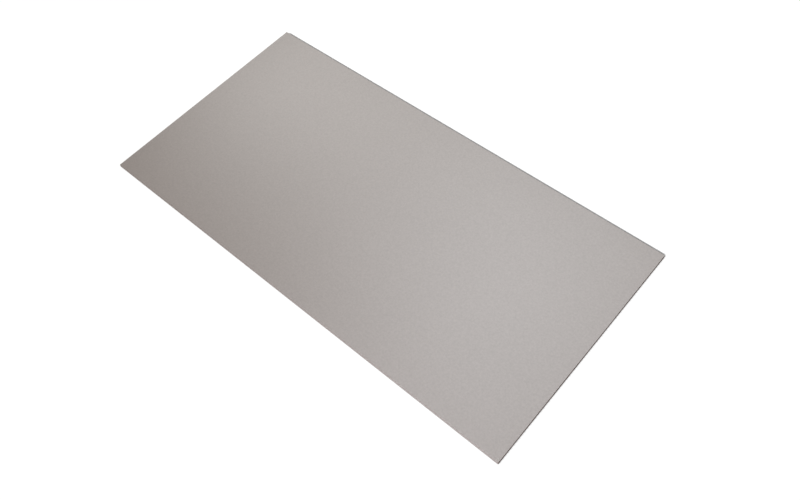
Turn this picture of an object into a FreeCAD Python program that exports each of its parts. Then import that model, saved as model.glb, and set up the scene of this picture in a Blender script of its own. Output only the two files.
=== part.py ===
import FreeCAD, Part
import math
import os
import sys

import Sketcher

# A ceiling panel of rigid PVC: one extruded hollow profile, sawn to length.
# Flat top skin, flat bottom skin, 66 thin ribs between them and a side wall down each long edge.
# Frame: X runs along the flutes, Y across the panel, Z up from the underside.

PANEL_SIZES = {
    "panel_length": 1210.0,
    "panel_width": 605.0,
    "panel_thickness": 10.0,
    "corner_radius": 2.0,
    "skin": 0.8,
    "side_wall": 1.0,
    "rib": 0.45,
    "cell_count": 67,
    "root_radius": 0.4,
}

doc = FreeCAD.newDocument("ceiling_panel")

# ---- driving dimensions, in millimetres ----
sheet = doc.addObject("Spreadsheet::Sheet", "Sizes")
for row, (alias, value) in enumerate(PANEL_SIZES.items(), start=1):
    sheet.set(f"A{row}", alias)
    sheet.set(f"B{row}", str(value))
    sheet.setAlias(f"B{row}", alias)

row = len(PANEL_SIZES) + 1
sheet.set(f"A{row}", "cell_pitch")
sheet.set(f"B{row}", "=(panel_width - 2 * side_wall + rib) / cell_count")
sheet.setAlias(f"B{row}", "cell_pitch")
doc.recompute()


def origin_plane(body, role):
    """One of the body's own three base planes."""
    return next(plane for plane in body.Origin.OriginFeatures if plane.Role == role)


def sketch_on(body, role, label):
    """An empty sketch lying flat on a base plane of the body."""
    sketch = body.newObject("Sketcher::SketchObject", label)
    sketch.AttachmentSupport = [(origin_plane(body, role), "")]
    sketch.MapMode = "FlatFace"
    return sketch


def rounded_rectangle(sketch, left, low, right, high, radius, sizes):
    """Draws a rectangle with four equal rounded corners and ties it to the spreadsheet.

    sizes maps width, height, left, low and radius to the expression that drives each.
    """
    corner = FreeCAD.Vector
    up_axis = corner(0, 0, 1)
    straight = [
        (corner(left + radius, low), corner(right - radius, low)),
        (corner(right, low + radius), corner(right, high - radius)),
        (corner(right - radius, high), corner(left + radius, high)),
        (corner(left, high - radius), corner(left, low + radius)),
    ]
    sides = [sketch.addGeometry(Part.LineSegment(a, b), False) for a, b in straight]
    centres = [
        (right - radius, low + radius, 270),
        (right - radius, high - radius, 0),
        (left + radius, high - radius, 90),
        (left + radius, low + radius, 180),
    ]
    arcs = []
    for x, y, start in centres:
        circle = Part.Circle(corner(x, y), up_axis, radius)
        arc = Part.ArcOfCircle(circle, math.radians(start), math.radians(start + 90))
        arcs.append(sketch.addGeometry(arc, False))

    # each side runs smoothly into the arc that follows it
    for i in range(4):
        sketch.addConstraint(Sketcher.Constraint("Tangent", sides[i], 2, arcs[i], 1))
        sketch.addConstraint(Sketcher.Constraint("Tangent", arcs[i], 2, sides[(i + 1) % 4], 1))
    for i, direction in enumerate(("Horizontal", "Vertical", "Horizontal", "Vertical")):
        sketch.addConstraint(Sketcher.Constraint(direction, sides[i]))
    for arc in arcs[1:]:
        sketch.addConstraint(Sketcher.Constraint("Equal", arcs[0], arc))

    def drive(kind, *where, by):
        index = sketch.addConstraint(Sketcher.Constraint(kind, *where))
        sketch.setExpression(f"Constraints[{index}]", sizes[by])

    drive("Radius", arcs[0], radius, by="radius")
    drive("DistanceX", sides[3], 1, sides[1], 1, right - left, by="width")
    drive("DistanceY", sides[0], 1, sides[2], 1, high - low, by="height")
    drive("DistanceX", -1, 1, sides[3], 1, left, by="left")
    drive("DistanceY", -1, 1, sides[0], 1, low, by="low")


# ---- the panel ----
size = PANEL_SIZES
panel = doc.addObject("PartDesign::Body", "panel")
panel.Label = "panel"

# outer section, drawn across the panel: sketch X is the panel's width, sketch Y its height
outline = sketch_on(panel, "YZ_Plane", "outline")
rounded_rectangle(
    outline,
    -size["panel_width"] / 2, 0.0, size["panel_width"] / 2, size["panel_thickness"],
    size["corner_radius"],
    {
        "width": "Sizes.panel_width",
        "height": "Sizes.panel_thickness",
        "left": "-Sizes.panel_width / 2",
        "low": "0",
        "radius": "Sizes.corner_radius",
    },
)
doc.recompute()

solid_board = panel.newObject("PartDesign::Pad", "solid_board")
solid_board.Profile = outline
solid_board.Midplane = True
solid_board.setExpression("Length", "Sizes.panel_length")
doc.recompute()
board_volume = panel.Shape.Volume

# the first flute, beside one side wall, running the whole length
pitch = float(sheet.cell_pitch)
first_left = -size["panel_width"] / 2 + size["side_wall"]
flute_section = sketch_on(panel, "YZ_Plane", "flute_section")
rounded_rectangle(
    flute_section,
    first_left, size["skin"], first_left + pitch - size["rib"],
    size["panel_thickness"] - size["skin"], size["root_radius"],
    {
        "width": "Sizes.cell_pitch - Sizes.rib",
        "height": "Sizes.panel_thickness - 2 * Sizes.skin",
        "left": "-Sizes.panel_width / 2 + Sizes.side_wall",
        "low": "Sizes.skin",
        "radius": "Sizes.root_radius",
    },
)
doc.recompute()

flute = panel.newObject("PartDesign::Pocket", "flute")
flute.Profile = flute_section
flute.Type = 1
flute.Midplane = True
doc.recompute()
one_flute = board_volume - panel.Shape.Volume
if one_flute < 1000.0:
    sys.exit("the first flute removed nothing")

# the same flute again and again across the width
flutes = panel.newObject("PartDesign::LinearPattern", "flutes")
flutes.Originals = [flute]
flutes.Direction = (outline, ["H_Axis"])
flutes.setExpression("Length", "Sizes.cell_pitch * (Sizes.cell_count - 1)")
flutes.setExpression("Occurrences", "Sizes.cell_count")
panel.Tip = flutes
doc.recompute()

# ---- checks, then the part's file ----
for item in doc.Objects:
    if "Invalid" in item.State or "Error" in item.State:
        sys.exit(f"{item.Label} did not build: {item.State}")

shape = panel.Shape
if shape.isNull() or not shape.isValid() or len(shape.Solids) != 1:
    sys.exit("the panel is not one sound solid")
removed = board_volume - shape.Volume
if abs(removed - one_flute * size["cell_count"]) > 0.001 * removed:
    sys.exit("the flutes removed the wrong amount")

os.makedirs("parts", exist_ok=True)
shape.exportStep(f"parts/{panel.Label}.step")

box = shape.BoundBox
print(f"{panel.Label}: {box.XLength:.2f} x {box.YLength:.2f} x {box.ZLength:.2f} mm, "
      f"{len(shape.Faces)} faces, {shape.Volume:.0f} mm3")
print(f"x {box.XMin:.2f}..{box.XMax:.2f}  y {box.YMin:.2f}..{box.YMax:.2f}  "
      f"z {box.ZMin:.2f}..{box.ZMax:.2f}")
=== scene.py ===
import math

import bpy
from mathutils import Matrix, Vector


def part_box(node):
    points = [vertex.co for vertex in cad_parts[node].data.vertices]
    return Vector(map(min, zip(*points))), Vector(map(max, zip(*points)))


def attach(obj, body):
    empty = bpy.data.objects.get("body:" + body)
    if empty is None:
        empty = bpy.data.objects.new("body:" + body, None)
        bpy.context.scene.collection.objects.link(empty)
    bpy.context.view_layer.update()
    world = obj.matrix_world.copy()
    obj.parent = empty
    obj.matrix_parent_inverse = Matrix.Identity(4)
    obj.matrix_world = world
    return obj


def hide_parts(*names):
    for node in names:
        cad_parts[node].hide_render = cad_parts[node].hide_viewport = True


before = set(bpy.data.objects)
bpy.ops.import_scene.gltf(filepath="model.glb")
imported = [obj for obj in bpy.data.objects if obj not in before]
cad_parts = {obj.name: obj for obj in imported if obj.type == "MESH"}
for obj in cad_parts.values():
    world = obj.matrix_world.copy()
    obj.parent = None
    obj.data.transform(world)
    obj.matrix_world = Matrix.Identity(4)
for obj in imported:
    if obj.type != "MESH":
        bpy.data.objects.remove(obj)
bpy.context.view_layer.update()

low, high = (Vector(corner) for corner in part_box("panel"))


# ---- The panel: a hollow board of rigid PVC, extruded in one piece and sawn to length ----
# A row of like flutes runs its whole length between a top and a bottom skin, and opens at both ends.
# The long edges are the rounded side walls that leave the die, and the ends show the ribs cut through.

board_length = high.x - low.x
board_width = high.y - low.y
board_thickness = high.z - low.z

board_sizes = {
    "Length": board_length,
    "Width": board_width,
    "Thickness": board_thickness,
    "Edge Radius": 0.0020,
    "Skin": 0.0008,
    "Side Wall": 0.0010,
    "Rib": 0.00045,
    "Root Radius": 0.0004,
    "Saw Tear": 0.0008,
}
flute_count = 67


def make_pvc():
    """Warm light grey PVC: satin skins with a fine grain and faint die lines, painted shade on the side walls,
    sawn ends and inside the flutes, rough sawn ends.
    """
    material = bpy.data.materials.new("grey_pvc")
    material.use_nodes = True
    nodes, links = material.node_tree.nodes, material.node_tree.links
    nodes.clear()
    output = nodes.new("ShaderNodeOutputMaterial")
    shader = nodes.new("ShaderNodeBsdfPrincipled")
    shader.inputs["IOR"].default_value = 1.48
    links.new(shader.outputs["BSDF"], output.inputs["Surface"])
    place = nodes.new("ShaderNodeTexCoord")

    def noise(scale, stretch=(1, 1, 1), detail=2.0, rough=0.5):
        """Noise of that scale per metre, on the piece's own place, drawn out by stretch."""
        mapping = nodes.new("ShaderNodeMapping")
        mapping.inputs["Scale"].default_value = stretch
        links.new(place.outputs["Object"], mapping.inputs["Vector"])
        texture = nodes.new("ShaderNodeTexNoise")
        texture.inputs["Scale"].default_value = scale
        texture.inputs["Detail"].default_value = detail
        texture.inputs["Roughness"].default_value = rough
        links.new(mapping.outputs["Vector"], texture.inputs["Vector"])
        return texture.outputs["Fac"]

    def spread(value, low_value, high_value, start=0.0, end=1.0):
        """value between start and end drawn out to low_value and high_value."""
        ranged = nodes.new("ShaderNodeMapRange")
        ranged.inputs["From Min"].default_value = start
        ranged.inputs["From Max"].default_value = end
        ranged.inputs["To Min"].default_value = low_value
        ranged.inputs["To Max"].default_value = high_value
        links.new(value, ranged.inputs["Value"])
        return ranged.outputs["Result"]

    def combine(operation, first, second=0.0):
        """One or two values through one piece of arithmetic."""
        node = nodes.new("ShaderNodeMath")
        node.operation = operation
        for value, socket in zip((first, second), node.inputs):
            if isinstance(value, (int, float)):
                socket.default_value = value
            else:
                links.new(value, socket)
        return node.outputs["Value"]

    # where the surface is: sawn ends look along the flutes, side walls neither up nor down
    geometry = nodes.new("ShaderNodeNewGeometry")
    facing = nodes.new("ShaderNodeSeparateXYZ")
    links.new(geometry.outputs["Normal"], facing.inputs["Vector"])
    sawn = spread(combine("ABSOLUTE", facing.outputs["X"]), 0.0, 1.0, 0.5, 0.9)
    upright = spread(combine("ABSOLUTE", facing.outputs["Z"]), 1.0, 0.0, 0.1, 0.95)

    # 1 over the middle of each flute and -1 over each rib: the skins sink a little between the ribs
    across = nodes.new("ShaderNodeSeparateXYZ")
    links.new(place.outputs["Object"], across.inputs["Vector"])
    rib_pitch = (board_width - 2 * board_sizes["Side Wall"] + board_sizes["Rib"]) / flute_count
    over_flute = combine("COSINE", combine("MULTIPLY", across.outputs["Y"], 2 * math.pi / rib_pitch))

    # the flutes' own walls lie deeper than half of the skin or side wall in front of them, and get the painted
    # shade of the hollows
    skin, side_wall = board_sizes["Skin"], board_sizes["Side Wall"]
    from_middle = combine("ABSOLUTE", combine("SUBTRACT", across.outputs["Z"], (low.z + high.z) / 2))
    from_centre = combine("ABSOLUTE", across.outputs["Y"])
    under_skin = spread(from_middle, 1.0, 0.0, board_thickness / 2 - 0.7 * skin, board_thickness / 2 - 0.3 * skin)
    half_width = board_width / 2
    behind_wall = spread(from_centre, 1.0, 0.0, half_width - 0.7 * side_wall, half_width - 0.3 * side_wall)
    inside = combine("MULTIPLY", under_skin, behind_wall)

    cloud = noise(4.0, detail=3.0)
    mottle = noise(230.0, detail=2.0, rough=0.7)
    die_lines = noise(420.0, stretch=(0.004, 1.0, 1.0), detail=3.0, rough=0.6)
    grain = noise(2600.0, detail=2.0, rough=0.6)
    saw_marks = noise(2500.0, stretch=(1.0, 1.0, 0.12), detail=3.0, rough=0.7)
    shade_patches = noise(55.0, stretch=(0.35, 1.0, 1.0), detail=4.0, rough=0.65)

    # colour: a plain grey, a little uneven at every scale, with painted shade: darker and browner on the side
    # walls, dark brown on the sawn ends and inside the flutes
    tone = combine("MULTIPLY", spread(cloud, 0.988, 1.012, 0.3, 0.7), spread(mottle, 0.925, 1.075, 0.25, 0.75))
    tone = combine("MULTIPLY", tone, spread(die_lines, 0.994, 1.006, 0.3, 0.7))
    # painted light and shade: the skin a touch darker over each hollow flute and lighter over each rib
    tone = combine("MULTIPLY", tone, spread(over_flute, 1.0008, 0.9992, -1.0, 1.0))

    def blend(first, second, factor):
        """A colour that goes from first to second as factor goes from 0 to 1."""
        mix = nodes.new("ShaderNodeMix")
        mix.data_type = "RGBA"
        for colour, socket in zip((first, second), (mix.inputs[6], mix.inputs[7])):
            if isinstance(colour, tuple):
                socket.default_value = (*colour, 1.0)
            else:
                links.new(colour, socket)
        links.new(factor, mix.inputs["Factor"])
        return mix.outputs[2]

    skin_grey = (0.462, 0.434, 0.418)
    wall_shade_grey = (0.415, 0.360, 0.345)
    end_shade_brown = (0.250, 0.168, 0.154)
    # painted shade: the side walls and rounded long edges darker and browner than the top, in patches
    painted_wall_shade = combine("MULTIPLY", upright, spread(shade_patches, 0.75, 1.0, 0.35, 0.65))
    # painted shade: the sawn ends and the insides of the flutes turn dark brown
    end_and_flute_shade = combine("MAXIMUM", combine("MULTIPLY", sawn, spread(shade_patches, 0.8, 1.0, 0.35, 0.65)), inside)
    colour = blend(blend(skin_grey, wall_shade_grey, painted_wall_shade), end_shade_brown, end_and_flute_shade)
    shade = nodes.new("ShaderNodeVectorMath")
    shade.operation = "SCALE"
    links.new(colour, shade.inputs[0])
    links.new(tone, shade.inputs["Scale"])
    links.new(shade.outputs["Vector"], shader.inputs["Base Color"])

    skin_roughness = combine("MULTIPLY", spread(grain, 0.46, 0.56, 0.3, 0.7), spread(cloud, 0.96, 1.04, 0.3, 0.7))
    links.new(combine("ADD", skin_roughness, combine("MULTIPLY", sawn, 0.25)), shader.inputs["Roughness"])

    # relief in metres: grain, die lines and the sink between ribs on the skins, tooth marks on the ends
    grain_height, die_line_height, flute_sink, tooth_height = 0.000012, 0.000006, 0.0000012, 0.00008
    relief = combine("MULTIPLY", grain, grain_height)
    relief = combine("ADD", relief, combine("MULTIPLY", die_lines, die_line_height))
    relief = combine("ADD", relief, combine("MULTIPLY", over_flute, -flute_sink))
    relief = combine("MULTIPLY", relief, combine("SUBTRACT", 1.0, sawn))
    relief = combine("ADD", relief, combine("MULTIPLY", combine("MULTIPLY", saw_marks, tooth_height), sawn))
    bump = nodes.new("ShaderNodeBump")
    bump.inputs["Strength"].default_value = 1.0
    bump.inputs["Distance"].default_value = 1.0
    links.new(relief, bump.inputs["Height"])
    links.new(bump.outputs["Normal"], shader.inputs["Normal"])
    return material


def hollow_board_tree():
    """The extrusion as a rule: an outline with a row of like flutes in it, drawn out to the panel's length."""
    tree = bpy.data.node_groups.new("hollow_board", "GeometryNodeTree")
    nodes, links = tree.nodes, tree.links
    for name in board_sizes:
        tree.interface.new_socket(name, in_out="INPUT", socket_type="NodeSocketFloat")
    tree.interface.new_socket("Flutes", in_out="INPUT", socket_type="NodeSocketInt")
    tree.interface.new_socket("Material", in_out="INPUT", socket_type="NodeSocketMaterial")
    tree.interface.new_socket("Board", in_out="OUTPUT", socket_type="NodeSocketGeometry")
    sizes = nodes.new("NodeGroupInput").outputs
    result = nodes.new("NodeGroupOutput")

    def feed(value, socket):
        """Links an output, or sets a plain number, on a socket."""
        if isinstance(value, bpy.types.NodeSocket):
            links.new(value, socket)
        else:
            socket.default_value = value

    def math_node(operation, first, second=0.0):
        """One or two values through one piece of arithmetic."""
        node = nodes.new("ShaderNodeMath")
        node.operation = operation
        for value, socket in zip((first, second), node.inputs):
            feed(value, socket)
        return node.outputs["Value"]

    def vector(x=0.0, z=0.0):
        """A step across the die (x) or along the length (z)."""
        node = nodes.new("ShaderNodeCombineXYZ")
        feed(x, node.inputs["X"])
        feed(z, node.inputs["Z"])
        return node.outputs["Vector"]

    def rounded_outline(width, height, radius, steps):
        """A closed curve: a rectangle about the origin, with its corners rounded in that many steps."""
        rectangle = nodes.new("GeometryNodeCurvePrimitiveQuadrilateral")
        feed(width, rectangle.inputs["Width"])
        feed(height, rectangle.inputs["Height"])
        fillet = nodes.new("GeometryNodeFilletCurve")
        fillet.mode = "POLY"
        fillet.inputs["Count"].default_value = steps
        feed(radius, fillet.inputs["Radius"])
        links.new(rectangle.outputs["Curve"], fillet.inputs["Curve"])
        return fillet.outputs["Curve"]

    between_walls = math_node("SUBTRACT", sizes["Width"], math_node("MULTIPLY", sizes["Side Wall"], 2.0))
    pitch = math_node("DIVIDE", math_node("ADD", between_walls, sizes["Rib"]), sizes["Flutes"])
    flute_width = math_node("SUBTRACT", pitch, sizes["Rib"])
    flute_height = math_node("SUBTRACT", sizes["Thickness"], math_node("MULTIPLY", sizes["Skin"], 2.0))
    outline = rounded_outline(sizes["Width"], sizes["Thickness"], sizes["Edge Radius"], 6)
    flute = rounded_outline(flute_width, flute_height, sizes["Root Radius"], 3)

    # one point in the middle of each flute
    row = nodes.new("GeometryNodeMeshLine")
    links.new(sizes["Flutes"], row.inputs["Count"])
    links.new(vector(x=pitch), row.inputs["Offset"])
    span = math_node("MULTIPLY", math_node("SUBTRACT", sizes["Flutes"], 1.0), pitch)
    links.new(vector(x=math_node("MULTIPLY", span, -0.5)), row.inputs["Start Location"])
    flutes = nodes.new("GeometryNodeInstanceOnPoints")
    links.new(row.outputs["Mesh"], flutes.inputs["Points"])
    links.new(flute, flutes.inputs["Instance"])
    flutes_made = nodes.new("GeometryNodeRealizeInstances")
    links.new(flutes.outputs["Instances"], flutes_made.inputs["Geometry"])

    section = nodes.new("GeometryNodeJoinGeometry")
    links.new(flutes_made.outputs["Geometry"], section.inputs["Geometry"])
    links.new(outline, section.inputs["Geometry"])
    cut_face = nodes.new("GeometryNodeFillCurve")
    links.new(section.outputs["Geometry"], cut_face.inputs["Curve"])

    # drawn out along the die, with the start face put back and turned round
    draw = nodes.new("GeometryNodeExtrudeMesh")
    draw.inputs["Individual"].default_value = False
    links.new(cut_face.outputs["Mesh"], draw.inputs["Mesh"])
    links.new(vector(z=sizes["Length"]), draw.inputs["Offset"])
    draw.inputs["Offset Scale"].default_value = 1.0
    start_face = nodes.new("GeometryNodeFlipFaces")
    links.new(cut_face.outputs["Mesh"], start_face.inputs["Mesh"])
    closed = nodes.new("GeometryNodeJoinGeometry")
    links.new(draw.outputs["Mesh"], closed.inputs["Geometry"])
    links.new(start_face.outputs["Mesh"], closed.inputs["Geometry"])
    welded = nodes.new("GeometryNodeMergeByDistance")
    welded.inputs["Distance"].default_value = 0.000002
    links.new(closed.outputs["Geometry"], welded.inputs["Geometry"])

    # the saw leaves each end a little uneven: points there are drawn in along the length, never out,
    # wherever the noise rises past its threshold
    where = nodes.new("GeometryNodeInputPosition")
    along = nodes.new("ShaderNodeSeparateXYZ")
    links.new(where.outputs["Position"], along.inputs["Vector"])
    tear = nodes.new("ShaderNodeTexNoise")
    tear.inputs["Scale"].default_value = 420.0
    tear.inputs["Detail"].default_value = 3.0
    links.new(where.outputs["Position"], tear.inputs["Vector"])
    threshold = 0.4
    mid_length = math_node("MULTIPLY", sizes["Length"], 0.5)
    inward = math_node("SIGN", math_node("SUBTRACT", mid_length, along.outputs["Z"]))
    depth = math_node("MULTIPLY", math_node("SUBTRACT", tear.outputs["Fac"], threshold), sizes["Saw Tear"])
    drawn_in = math_node("MULTIPLY", inward, math_node("MAXIMUM", depth, 0.0))
    uneven = nodes.new("GeometryNodeSetPosition")
    links.new(welded.outputs["Geometry"], uneven.inputs["Geometry"])
    links.new(vector(z=drawn_in), uneven.inputs["Offset"])

    realized = nodes.new("GeometryNodeRealizeInstances")
    links.new(uneven.outputs["Geometry"], realized.inputs["Geometry"])
    paint = nodes.new("GeometryNodeSetMaterial")
    links.new(realized.outputs["Geometry"], paint.inputs["Geometry"])
    links.new(sizes["Material"], paint.inputs["Material"])
    links.new(paint.outputs["Geometry"], result.inputs["Board"])
    return tree


pvc = make_pvc()
tree = hollow_board_tree()
maker = bpy.data.objects.new("board_maker", bpy.data.meshes.new("board_maker"))
bpy.context.scene.collection.objects.link(maker)
extrusion = maker.modifiers.new("extrusion", "NODES")
extrusion.node_group = tree
inputs = {item.name: item.identifier for item in tree.interface.items_tree if item.in_out == "INPUT"}
for name, value in board_sizes.items():
    extrusion[inputs[name]] = value
extrusion[inputs["Flutes"]] = flute_count
extrusion[inputs["Material"]] = pvc

made = maker.evaluated_get(bpy.context.evaluated_depsgraph_get())
board_mesh = bpy.data.meshes.new_from_object(made)
bpy.data.objects.remove(maker)

# the die's plane becomes the frame's YZ plane, with the length along X
stand_up = Matrix(((0, 0, 1, low.x), (1, 0, 0, 0), (0, 1, 0, (low.z + high.z) / 2), (0, 0, 0, 1)))
board_mesh.transform(stand_up)
board_mesh.name = "panel_board"
board_mesh.materials.clear()
board_mesh.materials.append(pvc)
board_mesh.polygons.foreach_set("material_index", [0] * len(board_mesh.polygons))
sharp_edge = math.radians(35)
board_mesh.shade_smooth()
board_mesh.set_sharp_from_angle(angle=sharp_edge)
panel_board = bpy.data.objects.new("panel_board", board_mesh)
bpy.context.scene.collection.objects.link(panel_board)

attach(panel_board, "root")
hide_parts("panel")


# ---- The floor: a plain white studio sweep that the panel lies on ----
# It is matt white paper, laid flat, and stands a hair below the panel's back.
# It is lifted towards white only where it is seen directly or in a gloss, and it keeps the panel's shadow.

floor_reach = 30.0
floor_gap = 0.0003
floor_mesh = bpy.data.meshes.new("floor")
floor_corners = [
    (-floor_reach, -floor_reach, 0), (floor_reach, -floor_reach, 0),
    (floor_reach, floor_reach, 0), (-floor_reach, floor_reach, 0),
]
floor_mesh.from_pydata(floor_corners, [], [(0, 1, 2, 3)])
floor = bpy.data.objects.new("floor", floor_mesh)
floor.location.z = low.z - floor_gap
bpy.context.scene.collection.objects.link(floor)

paper = bpy.data.materials.new("white_paper")
paper.use_nodes = True
nodes, links = paper.node_tree.nodes, paper.node_tree.links
nodes.clear()
output = nodes.new("ShaderNodeOutputMaterial")
matt = nodes.new("ShaderNodeBsdfDiffuse")
matt.inputs["Color"].default_value = (0.50, 0.49, 0.48, 1.0)
matt_seen = nodes.new("ShaderNodeBsdfDiffuse")
matt_seen.inputs["Color"].default_value = (0.16, 0.16, 0.16, 1.0)
lift = nodes.new("ShaderNodeEmission")
lift.inputs["Color"].default_value = (1.0, 1.0, 1.0, 1.0)
seen = nodes.new("ShaderNodeLightPath")
direct = nodes.new("ShaderNodeMath")
direct.operation = "MAXIMUM"
links.new(seen.outputs["Is Camera Ray"], direct.inputs[0])
links.new(seen.outputs["Is Glossy Ray"], direct.inputs[1])

# a stand-in for the thin dark line of shade behind the far edge: the lift fades close to the panel,
# where the panel shuts off what comes from its near side
from_near_side = (0.42, -0.86, 0.28)
shade_reach = 0.011
full_shade, no_shade = 0.70, 0.95
lift_strength = 0.95
near_side = nodes.new("ShaderNodeCombineXYZ")
for axis, value in zip(near_side.inputs, from_near_side):
    axis.default_value = value
edge_shade = nodes.new("ShaderNodeAmbientOcclusion")
edge_shade.inputs["Distance"].default_value = shade_reach
edge_shade.samples = 16
links.new(near_side.outputs["Vector"], edge_shade.inputs["Normal"])
open_floor = nodes.new("ShaderNodeMapRange")
open_floor.interpolation_type = "SMOOTHSTEP"
open_floor.inputs["From Min"].default_value = full_shade
open_floor.inputs["From Max"].default_value = no_shade
links.new(edge_shade.outputs["AO"], open_floor.inputs["Value"])
lift_seen = nodes.new("ShaderNodeMath")
lift_seen.operation = "MULTIPLY"
links.new(direct.outputs["Value"], lift_seen.inputs[0])
links.new(open_floor.outputs["Result"], lift_seen.inputs[1])
lift_level = nodes.new("ShaderNodeMath")
lift_level.operation = "MULTIPLY"
links.new(lift_seen.outputs["Value"], lift_level.inputs[0])
lift_level.inputs[1].default_value = lift_strength
links.new(lift_level.outputs["Value"], lift.inputs["Strength"])

ground = nodes.new("ShaderNodeMixShader")
links.new(direct.outputs["Value"], ground.inputs["Fac"])
links.new(matt.outputs["BSDF"], ground.inputs[1])
links.new(matt_seen.outputs["BSDF"], ground.inputs[2])
both = nodes.new("ShaderNodeAddShader")
links.new(ground.outputs["Shader"], both.inputs[0])
links.new(lift.outputs["Emission"], both.inputs[1])
links.new(both.outputs["Shader"], output.inputs["Surface"])
floor_mesh.materials.append(paper)


# ---- The studio: three soft boxes and a plain pale room ----
# Two boxes hang over the left end and the right half, turned to the far side, and a third stands low in front.
# So the light thins out towards the near left corner. The room's walls fill in from all round.

def soft_lamp(name, place, aim, size, spread, power, colour):
    """A square soft box at place, turned to aim, its light held to a cone of spread degrees."""
    light = bpy.data.lights.new(name, "AREA")
    light.shape = "SQUARE"
    light.size = size
    light.spread = math.radians(spread)
    light.energy = power
    light.color = colour
    lamp = bpy.data.objects.new(name, light)
    lamp.location = place
    lamp.rotation_euler = (Vector(aim) - Vector(place)).to_track_quat("-Z", "Y").to_euler()
    bpy.context.scene.collection.objects.link(lamp)


soft_lamp("left_box", (-0.80, 0.09, 0.79), (-0.26, 0.40, 0.0), 0.64, 80.0, 1.29, (0.915, 0.968, 1.0))
soft_lamp("right_box", (0.341, -0.066, 0.997), (0.493, 0.323, 0.0), 0.632, 92.6, 1.71, (0.848, 0.925, 1.0))
soft_lamp("near_box", (0.48, -1.1, 0.42), (0.4, -0.3, 0.0), 0.7, 180.0, 5.2, (0.897, 0.928, 1.0))

room = bpy.data.worlds.new("room")
bpy.context.scene.world = room
room.use_nodes = True
nodes, links = room.node_tree.nodes, room.node_tree.links
nodes.clear()
world_output = nodes.new("ShaderNodeOutputWorld")
walls = nodes.new("ShaderNodeBackground")
walls.inputs["Color"].default_value = (0.444, 0.401, 0.367, 1.0)
backdrop = nodes.new("ShaderNodeBackground")
backdrop.inputs["Color"].default_value = (1.0, 1.0, 1.0, 1.0)
ray = nodes.new("ShaderNodeLightPath")
camera_or_gloss = nodes.new("ShaderNodeMath")
camera_or_gloss.operation = "MAXIMUM"
links.new(ray.outputs["Is Camera Ray"], camera_or_gloss.inputs[0])
links.new(ray.outputs["Is Glossy Ray"], camera_or_gloss.inputs[1])
choose = nodes.new("ShaderNodeMixShader")
links.new(camera_or_gloss.outputs["Value"], choose.inputs["Fac"])
links.new(walls.outputs["Background"], choose.inputs[1])
links.new(backdrop.outputs["Background"], choose.inputs[2])
links.new(choose.outputs["Shader"], world_output.inputs["Surface"])


# ---- The camera: looks down on the panel from beyond its near right corner ----
# It stands a metre and a half up, with a normal lens, and is rolled a little about its line of sight.

camera = bpy.data.cameras.new("camera")
camera.lens = 35.33
camera.sensor_width = 36.0
camera.clip_end = 100.0
eye = Vector((0.8660, -0.7004, high.z + 1.5121))
aim = Vector((0.1329, -0.0518, high.z))
roll = math.radians(-8.694)
viewer = bpy.data.objects.new("camera", camera)
turn = (aim - eye).to_track_quat("-Z", "Y").to_matrix() @ Matrix.Rotation(roll, 3, "Z")
viewer.matrix_world = Matrix.Translation(eye) @ turn.to_4x4()
bpy.context.scene.collection.objects.link(viewer)
bpy.context.scene.camera = viewer
bpy.context.scene.view_settings.view_transform = "Standard"
